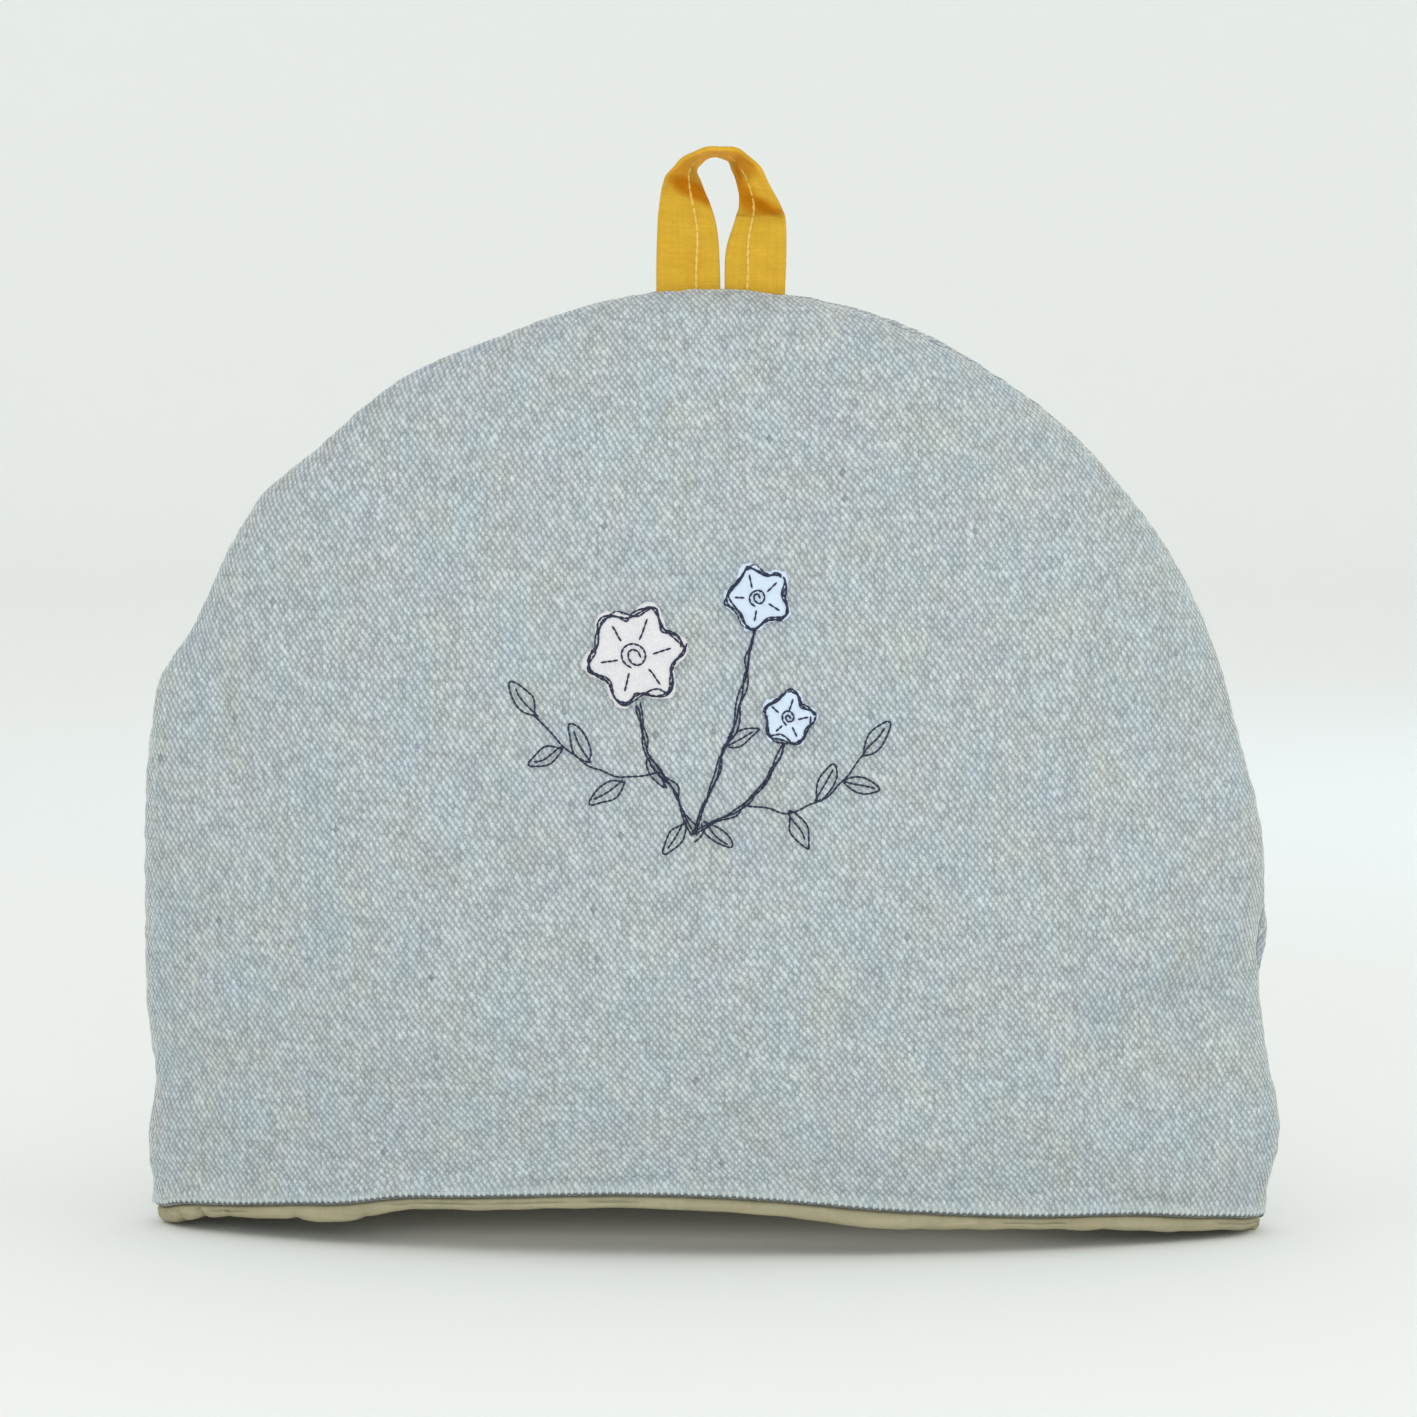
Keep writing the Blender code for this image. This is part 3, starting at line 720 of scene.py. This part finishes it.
def edgeFloats(name, sections, out, look):
    # the lowest row of floats, where the cloth turns under: short plump yarns side by side along the hem
    top, foot = sections[look["floatTop"]], sections[look["floatFoot"]]
    at = lengthsAlong(top)
    draw = np.random.default_rng(len(name))
    stitches = []
    for k in np.arange(2, at[-1] - 2, look["floatStep"]):
        k += draw.normal(0, look["floatStray"])
        lines = (top, foot, out)
        a, b, face = (np.array([np.interp(k, at, line[:, c]) for c in range(3)]) for line in lines)
        b = b + face * 0.3 + (0, 0, 0.1)
        a = a + (0, 0, draw.normal(0, look["floatStray"])) - face * 0.05
        radius = look["floatRadius"] * draw.uniform(*look["floatSizes"])
        stitches.append((a, b, face, radius, look["floatBow"]))
    return stitchMesh(name, stitches, highlightedWoolYarn)


frontFloats = edgeFloats("frontHemFloats", frontHem, frontOut, woolPanel)
backFloats = edgeFloats("backHemFloats", backHem, backOut, woolPanel)

# the hanging loop

tapeShape = dict(
    wide=20, thick=1.4, cup=0.4, rows=230, across=22, creaseTip=0.2,
    rippleHeight=0.12, rippleWave=9, rippleStart=12,
    stitchShare=0.36, stitchLength=2.9, stitchGap=-0.4, stitchRadius=0.46, stitchLift=-0.14,
    stitchBow=0.16, stitchStart=1.2, crownReach=18, crownSink=0.12, crownThin=0.4,
    # inner edge x, y, z and outer edge x, y, z, from the left end over the crown
    edges=[
        (1.8, 0, 280.8, -17.6, 0, 280.8), (1.5, 0, 290, -17.6, 0, 290),
        (1, 0, 298, -17.4, 0, 298.6), (-0.2, 0.2, 304.2, -17, -0.8, 305.4),
        (-1.6, 0.2, 308.2, -16.3, -2, 310.2), (-2.8, 1.6, 310.8, -15.7, -4.2, 313.2),
        (-4.2, 4.6, 313.8, -14.6, -8.6, 315.8), (-5.7, 6.7, 317.2, -12.4, -11.6, 318.4),
        (-4.2, 7, 320.4, -8.6, -12.1, 321.6),
        (0.2, 7.4, 322, 0, -12.1, 324.2), (3.7, 6.6, 320.8, 7.4, -12, 323.2),
        (5.4, 1.6, 317.4, 13, -11.2, 318.6), (6.6, -3.8, 313.2, 16.6, -8.8, 312.4),
        (7.1, -4, 309.4, 19.2, -5.6, 307.8), (6.8, -2.4, 306.2, 20.3, -3.2, 305.4),
        (6.1, -0.2, 304, 21, -0.5, 303.8), (5.5, 0, 302, 21.2, 0, 302),
        (3.7, 0, 296.6, 21.4, 0, 297),
        (2.7, 0, 280.8, 21, 0, 280.8),
    ],
    # x, z, angle, length, width, height of each crease, seen from the front: ridges stand towards the front
    creases=[
        (13.6, 309.6, -40, 7, 1.6, 1.5), (13.5, 304.3, 0, 9, 1.3, -0.9),
        (-8, 311.6, -24, 7, 1.5, -1), (9.2, 317.6, -52, 4.5, 1.2, 0.9),
        (-9.4, 289, 8, 6, 1.6, -0.1), (12, 292, -6, 7, 2, -0.12),
    ],
    # how far down a face has to look before it is painted, over what run, and how much: painted shade
    # underneath, a painted highlight at the crown
    under=(0.15, 0.6, 0.1), crown=(0.1, 0.5, 1),
    # hollows show above this height, over this run, or left of this x
    hollowFrom=(304.3, 0.25, 5),
    # x, z, angle, length, width, depth of shade where the front of the tape folds in on itself
    hollows=[
        (9, 309.8, -50, 7.4, 3.4, 0.95), (13.4, 307.4, -24, 6.2, 2.6, 1),
        (16.8, 305.8, -8, 4.2, 1.4, 0.95), (6.8, 317.4, -72, 3.8, 0.9, 0.8),
        (9, 319.6, -56, 4.6, 2.3, 0.6), (-9.2, 313.4, -32, 5, 2.9, 1),
        (-6, 311.6, -30, 5.4, 2.6, 1), (-3, 309.4, -46, 3.6, 1.8, 0.9),
        (-9.6, 318.2, 42, 6, 2.4, 0.4), (-8.6, 291.5, 4, 7, 3.6, 0.12),
    ],
)


def tapeLoop():
    s = tapeShape
    table = np.array(s["edges"])
    at = lengthsAlong((table[:, :3] + table[:, 3:]) / 2)
    steps = np.linspace(0, at[-1], s["rows"] + 1)
    edges = np.stack([throughTable(at, table[:, k], steps) for k in range(6)], axis=1)
    inner, across = edges[:, :3], edges[:, 3:] - edges[:, :3]
    tangent = np.gradient(inner + across / 2, axis=0)
    normal = unit(np.cross(tangent, across))
    cup = s["cup"] * np.sin(math.pi * steps / at[-1])

    def nearCrown(place):
        return np.exp(-(((place - at[-1] / 2) / s["crownReach"]) ** 4))

    def marks(rows, places, power):
        # soft marks on the tape as seen from the front: ridges, or round patches if there is a power
        tip = s["creaseTip"]
        total = np.zeros(places.shape[:-1])
        for markX, markZ, angle, length, width, amount in rows:
            run, off = seenAlong(places[..., 0] - markX, places[..., 2] - markZ, angle)
            if power:
                away = (run / length) ** 2 + (off / width) ** 2
                total = np.maximum(total, amount * np.exp(-(away**power)))
            else:
                ridge = tip - (run / length) ** 4 - np.sqrt((off / width) ** 2 + tip**2)
                total += amount * np.exp(ridge)
        return total

    # once round the tape: one face, its rounded edge, the other face, its rounded edge
    wide = s["wide"]
    shares = np.linspace(0.03, 0.97, s["across"])
    ring = [(t, 1, t * wide) for t in shares]
    ring += [(0.995, 0.5, wide + 0.2), (0.995, -0.5, wide + 0.8)]
    ring += [(t, -1, wide + 1 + (1 - t) * wide) for t in shares[::-1]]
    ring += [(0.005, -0.5, 2 * wide + 1.2), (0.005, 0.5, 2 * wide + 1.8)]
    points, uvs = [], []
    ends = np.minimum(steps, at[-1] - steps)
    for share, face, flatAcross in ring:
        bow = 4 * share * (1 - share) * cup
        off = np.full_like(steps, share * wide)
        ripple = s["rippleHeight"] * ripples(seeds["tape"], steps, off, s["rippleWave"])
        ripple *= np.clip(ends / s["rippleStart"], 0, 1)
        offset = face * s["thick"] / 2 - bow + ripple
        middle = inner + across * share
        place = middle + normal * offset[:, None]
        place[:, 1] -= marks(s["creases"], middle, 0)
        points.append(place)
        uvs.append(np.stack([np.full_like(steps, flatAcross), steps], axis=1))
    points, uvs = (np.swapaxes(np.array(rows), 0, 1) for rows in (points, uvs))
    # painted shade: the tape is painted deeper orange where it turns its face down and in its hollows; near
    # the crown the faces that turn down are also painted paler, a painted highlight
    aroundTape = np.roll(points, -1, axis=1) - np.roll(points, 1, axis=1)
    facing = unit(np.cross(np.gradient(points, axis=0), aroundTape))
    if np.mean(facing[:20, : s["across"], 1]) > 0:
        facing = -facing

    def facingDown(start, run, most):
        return np.clip((-facing[..., 2] - start) / run, 0, 1) * most

    shadeAndHighlightAmounts = facingDown(*s["under"])
    fromZ, run, leftOf = s["hollowFrom"]
    turnedUp = 1 / (1 + np.exp((fromZ - points[..., 2]) / run)) + (points[..., 0] < leftOf)
    inFront = (facing[..., 1] < 0) * np.clip(turnedUp, 0, 1)
    shadeAndHighlightAmounts = np.maximum(shadeAndHighlightAmounts, marks(s["hollows"], points, 2) * inFront)
    shadeAndHighlightAmounts = np.stack([shadeAndHighlightAmounts, facingDown(*s["crown"]) * nearCrown(steps)[:, None]], axis=-1)
    closed = closedRows(0, len(points), len(ring))
    faces = [*gridFaces(closed), closed[0, :-1], closed[-1, :-1]]
    flatPlaces, shades = uvs.reshape(-1, 2) * mm, shadeAndHighlightAmounts.reshape(-1, 2)
    piece = meshPiece("tapeLoop", points.reshape(-1, 3), faces, flatPlaces, tapeCloth, edge=shades)
    # one row of stitches on each face
    stitches = []
    share = s["stitchShare"]
    k = s["stitchStart"]
    while k < at[-1] - s["stitchLength"]:
        row = [np.interp(q, steps, np.arange(len(steps))) for q in (k, k + s["stitchLength"])]
        sunk = nearCrown(k)
        for face in (1, -1):
            tips = []
            for r in row:
                i = int(r)
                f = r - i
                j = min(i + 1, len(steps) - 1)
                wander = 0.02 * math.sin(k * 0.21 + 1)
                here, ahead = (inner[m] + across[m] * (share + wander) for m in (i, j))
                bow = 4 * share * (1 - share) * cup[i]
                off = face * (s["thick"] / 2 + s["stitchLift"] - s["crownSink"] * sunk) - bow
                place = here * (1 - f) + ahead * f + normal[i] * off
                place[1] -= marks(s["creases"], inner[i] + across[i] * share, 0)
                tips.append(place)
            radius = s["stitchRadius"] * (1 - s["crownThin"] * sunk)
            stitches.append((tips[0], tips[1], normal[int(row[0])] * face, radius, s["stitchBow"]))
        k += s["stitchLength"] + s["stitchGap"]
    sewing = stitchMesh("tapeStitching", stitches, paleThread)
    return piece, sewing


tape, tapeSewing = tapeLoop()

# flowers, stems and leaves on the front

sprig = dict(
    lift=0.4, thick=1, thin=0.45, puff=0.7, puffEdge=0.85, petalPuff=0.4,
    rings=12, around=150, fray=0.35,
    stitch=1.7, radius=0.33, bow=0.18, over=0.05, wobble=0.42, wobbleWave=14, wobbleMore=(0.7, 0.6),
    # node, name, x, z, radius, petals, turn
    flowers=[
        ("flower_cream", "creamFlower", -23, 176, 16, 6, 12),
        ("flower_blue_upper", "blueFlowerUpper", 13, 193, 10.5, 5, 40),
        ("flower_blue_lower", "blueFlowerLower", 22, 158, 8.5, 5, 5),
    ],
    # shares of the radius: how far the petals dip, and where the stitched outline, heart and rays lie
    petalDip=0.24, sewnIn=0.9, heart=(0.1, 0.26), heartTurns=3.4, rays=(0.34, 0.68),
    veinShare=0.8, fibreStep=0.8, fibreLength=1, fibreSizes=(0.5, 1.4), fibreRadius=0.1, fibreBow=0.1,
    stems=[
        [(-22.5, 161.5), (-19, 148), (-11, 136), (-6, 124)],
        [(12, 184.5), (8, 164), (1, 143), (-6, 124)],
        [(20.5, 150.5), (16, 141), (6, 131), (-6, 124)],
        [(-15, 142), (-28, 141), (-41, 147), (-52, 158)],
        [(8, 133), (22, 131), (34, 136), (44, 147)],
    ],
    # x, z, angle, length, width
    leaves=[
        (-26, 140, 214, 13, 5), (-36, 145, 120, 13, 5.2), (-44, 149, 205, 12, 4.6), (-52, 158, 128, 13, 5),
        (22, 131, 300, 12, 4.8), (30, 134, 62, 13, 5), (38, 140, 345, 12, 4.6), (44, 147, 55, 13, 5),
        (-14, 138, 120, 10, 4), (4, 150, 28, 11, 4.4), (-8, 128, 236, 12, 4.4), (-3, 128, 318, 12, 4.4),
    ],
)


def placesRound(x, z, reach, turned):
    # places on the front at these distances and angles from x, z
    return np.stack([x + reach * np.cos(turned), z + reach * np.sin(turned)], axis=-1)


def petalRadius(flower, angle):
    return flower[4] * (1 - sprig["petalDip"] * (1 - np.cos(flower[5] * angle)) / 2)


def makeFlower(flower, tree, material):
    s = sprig
    count = s["around"]
    _, name, x, z, radius, petals, turn = flower
    draw = np.random.default_rng(int(radius * 10))
    angles = np.linspace(0, 2 * math.pi, count, endpoint=False)
    rough = np.tile(draw.normal(0, 1, count), 3)
    rough = np.convolve(rough, (0.25, 0.5, 0.25), "same")[count : 2 * count]
    edge = petalRadius(flower, angles) + rough * s["fray"]
    shares = np.linspace(0, 1, s["rings"] + 1)[1:]
    points, uvs, faces = [], [], []
    for layer in (0, 1):
        def put(px, pz, share, angle):
            lift = s["lift"]
            if layer == 1:
                crown = s["puff"] * math.sin(math.pi * min(share, s["puffEdge"]) / s["puffEdge"]) ** 0.7
                crown *= 1 - s["petalPuff"] + s["petalPuff"] * math.cos(petals * angle)
                lift += s["thin"] + (s["thick"] - s["thin"]) * (1 - share**6) * 0.6 + max(crown, 0)
            place, _ = layOn(tree, px, pz, lift)
            points.append(place)
            uvs.append((px, pz))
        start = layer * (1 + s["rings"] * count)
        put(x, z, 0, 0)
        for share in shares:
            for angle, place in zip(angles, placesRound(x, z, edge * share, angles + math.radians(turn))):
                put(*place, share, angle)
        closed = closedRows(start + 1, s["rings"], count)
        faces += [*gridFaces(closed), *((start, a, b) for a, b in zip(closed[0], closed[0, 1:]))]
    low = 1 + (s["rings"] - 1) * count
    high = low + 1 + s["rings"] * count
    for k in range(count):
        n = (k + 1) % count
        faces.append((low + k, low + n, high + n, high + k))
    piece = meshPiece(name, points, faces, np.array(uvs) * mm, material)
    print(name, "made")
    return piece


onWool = surfaceTree(frontPanel)
flowerCloths = (creamCloth, blueCloth, blueCloth)
flowers = [makeFlower(f, onWool, m) for f, m in zip(sprig["flowers"], flowerCloths)]
sewnOn = surfaceTree(frontPanel, *flowers)


def frayedEdge(name, which, material):
    # the patches' cut edges: loose fibres that stand out past the cloth
    s = sprig
    draw = np.random.default_rng(len(name))
    fibres = []
    for flower in which:
        count = int(2 * math.pi * flower[4] / s["fibreStep"])
        for angle in np.linspace(0, 2 * math.pi, count, endpoint=False) + draw.normal(0, 0.02, count):
            reach = petalRadius(flower, angle) - 0.3
            turned = angle + math.radians(flower[6])
            start = placesRound(flower[2], flower[3], reach, turned)
            turned += draw.normal(0, 0.6)
            end = placesRound(*start, s["fibreLength"] * draw.uniform(*s["fibreSizes"]), turned)
            a, na = layOn(sewnOn, start[0], start[1], 0)
            b, nb = layOn(onWool, end[0], end[1], 0.25)
            fibres.append((a, b, na + nb, s["fibreRadius"], s["fibreBow"]))
    return stitchMesh(name, fibres, material, 4, 4)


creamFray = frayedEdge("creamFlowerFray", sprig["flowers"][:1], creamFibre)
blueFray = frayedEdge("blueFlowerFray", sprig["flowers"][1:], blueFibre)


def sewLine(outline, seed, passes=1):
    # free stitching wanders a little, and goes over a line again beside itself
    s = sprig
    first, more = s["wobbleMore"]
    out = []
    for turn in range(passes):
        points = evenly(outline, s["stitch"])
        at = lengthsAlong(points)
        wave = s["wobbleWave"]
        drift = np.stack([ripples(seed + 11 * turn + k, at, at * 0, wave, 5) for k in (0, 1)], axis=1)
        points = points + drift * s["wobble"] * (first + more * turn)
        for a, b in zip(points, points[1:]):
            (pa, na), (pb, nb) = (layOn(sewnOn, *place, s["over"]) for place in (a, b))
            out.append((pa, pb, na + nb, s["radius"], s["bow"]))
    return out


def petalOutline(flower):
    angle = np.linspace(0, 2 * math.pi, 160)
    reach = petalRadius(flower, angle) * sprig["sewnIn"]
    return placesRound(flower[2], flower[3], reach, angle + math.radians(flower[6]))


def leafOutline(x, z, angle, length, width):
    t = np.linspace(0, 1, 24)
    half = width / 2 * np.sin(math.pi * t) ** 0.8
    run = np.concatenate([t, t[::-1]]) * length
    off = np.concatenate([half, -half[::-1]])
    turnedX, turnedZ = seenAlong(run, off, -angle)
    return np.stack([x + turnedX, z + turnedZ], axis=1)


navyStitches = []
for number, flower in enumerate(sprig["flowers"]):
    _, _, x, z, radius, petals, turn = flower
    navyStitches += sewLine(petalOutline(flower), seeds["petals"] + number, 3)
    coil = np.linspace(*sprig["heart"], 60) * radius
    heart = placesRound(x, z, coil, np.linspace(0, sprig["heartTurns"] * math.pi, 60))
    navyStitches += sewLine(heart, seeds["heart"] + number)
    for petal in range(petals):
        turned = 2 * math.pi * petal / petals + math.radians(turn)
        ray = placesRound(x, z, np.array(sprig["rays"]) * radius, turned)
        navyStitches += sewLine(ray, seeds["rays"] + petal)
for number, stem in enumerate(sprig["stems"]):
    stem = np.array(stem, float)
    at = lengthsAlong(stem)
    fine = np.linspace(0, at[-1], 40)
    smooth = np.stack([throughTable(at, stem[:, k], fine) for k in (0, 1)], axis=1)
    navyStitches += sewLine(smooth, seeds["stems"] + number, 3 if number < 3 else 1)
for number, leaf in enumerate(sprig["leaves"]):
    navyStitches += sewLine(leafOutline(*leaf), seeds["leaves"] + number)
    x, z, angle, length, _ = leaf
    vein = placesRound(x, z, np.array([0, sprig["veinShare"] * length]), math.radians(angle))
    navyStitches += sewLine(vein, seeds["veins"] + number)
sprigSewing = stitchMesh("sprigStitching", navyStitches, navyThread)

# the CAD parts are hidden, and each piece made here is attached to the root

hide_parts("front_panel")
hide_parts("back_panel")
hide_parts("lining_front")
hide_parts("lining_back")
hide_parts("hanging_loop")
for piece, flower in zip(flowers, sprig["flowers"]):
    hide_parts(flower[0])
everyPiece = [
    frontPanel, backPanel, frontFloats, backFloats, frontLining, backLining, tape, tapeSewing,
    sprigSewing, creamFray, blueFray,
] + flowers
slots = ["wool_cloth"] * 4 + ["lining_cloth"] * 2 + ["tape", "thread_cream", "thread_navy"]
slots += ["patch_cream", "patch_blue"] * 2 + ["patch_blue"]
for piece, name in zip(everyPiece, slots):
    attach(piece, "root")
# studio

studio = dict(
    floorRadius=2.6, coveRadius=1, wallHeight=2.2, centre=(0, 0.3), sweepSides=96, coveSteps=12,
    floorColour=colour(238, 241, 239), worldColour=(1, 1, 1, 1), worldStrength=0.97,
    # name, place, aimed at, width, height, watts, spread in degrees, colour
    lights=[
        ("frontSoftbox", (0, -2.6, 0.5), (0, 0, 0.1), 1.1, 1.1, 20.3, 180, (0.94, 1, 1.06)),
        ("rightSoftbox", (2.2, -0.7, 0.9), (0, 0, 0.14), 1.5, 1.5, 8.2, 180, (1, 0.93, 0.72)),
        ("leftSoftbox", (-2.2, -0.8, 0.9), (0, 0, 0.14), 1.5, 1.5, 4.2, 180, (1, 0.9, 0.62)),
        ("backRightSoftbox", (1.3, 1.3, 0.9), (0.45, 1.3, 0), 0.8, 0.8, 0.6, 60, (0.42, 0.7, 1)),
        # stands in for the light that reaches in under the raised hem
        ("underHem", (0, -0.03, 0.028), (0, -0.008, 0), 0.2, 0.016, 0.0068, 180, (1, 0.92, 0.78)),
    ],
)


def makeSweep():
    # a round floor that curves up into a wall
    profile = [(0, 0), (0.4, 0), (0.8, 0), (1.2, 0), (studio["floorRadius"], 0)]
    for k in range(1, studio["coveSteps"] + 1):
        turn = math.pi / 2 * k / studio["coveSteps"]
        outward = studio["floorRadius"] + studio["coveRadius"] * math.sin(turn)
        profile.append((outward, studio["coveRadius"] * (1 - math.cos(turn))))
    profile.append((profile[-1][0], studio["wallHeight"]))
    sides = studio["sweepSides"]
    points = [(0, 0, 0)]
    for radius, height in profile[1:]:
        for k in range(sides):
            turn = 2 * math.pi * k / sides
            points.append((radius * math.cos(turn), radius * math.sin(turn), height))
    closed = closedRows(1, len(profile) - 1, sides)
    faces = [(0, a, b) for a, b in zip(closed[0], closed[0, 1:])] + list(gridFaces(closed))
    make, _, blend, shaded = nodeTools("paleSweep")
    where = make("TexCoord").outputs["Object"]
    cloud = make("TexNoise", {"Vector": where, "Scale": 1.2, "Detail": 2}).outputs["Fac"]
    low = tuple(c * 0.985 for c in studio["floorColour"][:3]) + (1,)
    floor = blend(cloud, low, studio["floorColour"])
    material = shaded({"Base Color": floor, "Roughness": 0.8, "Specular IOR Level": 0.2})
    sweep = meshPiece("studioSweep", np.array(points) / mm, faces, None, material, flip=False)
    sweep.location = (studio["centre"][0], studio["centre"][1], 0)


makeSweep()
world = bpy.data.worlds.new("softRoom")
bpy.context.scene.world = world
world.use_nodes = True
sky = world.node_tree.nodes["Background"]
sky.inputs["Color"].default_value = studio["worldColour"]
sky.inputs["Strength"].default_value = studio["worldStrength"]
for name, place, aim, width, height, watts, spread, tone in studio["lights"]:
    light = bpy.data.lights.new(name, "AREA")
    light.shape = "RECTANGLE"
    light.size = width
    light.size_y = height
    light.energy = watts
    light.spread = math.radians(spread)
    light.color = tone
    lamp = bpy.data.objects.new(name, light)
    lamp.location = place
    lamp.rotation_euler = (Vector(aim) - Vector(place)).to_track_quat("-Z", "Y").to_euler()
    bpy.context.scene.collection.objects.link(lamp)

view = dict(target=(-0.0015, 0, 0.1568), distance=2, elevation=4.8, lens=169.4, roll=0.19)
elevation = math.radians(view["elevation"])
away = Vector((0, -math.cos(elevation), math.sin(elevation)))
cameraData = bpy.data.cameras.new("camera")
cameraData.lens = view["lens"]
cameraData.sensor_width = 36
camera = bpy.data.objects.new("camera", cameraData)
camera.location = Vector(view["target"]) + away * view["distance"]
turned = (-away).to_track_quat("-Z", "Y") @ Quaternion((0, 0, 1), math.radians(view["roll"]))
camera.rotation_euler = turned.to_euler()
bpy.context.scene.collection.objects.link(camera)
bpy.context.scene.camera = camera
bpy.context.scene.view_settings.view_transform = "Standard"
print("studio ready")
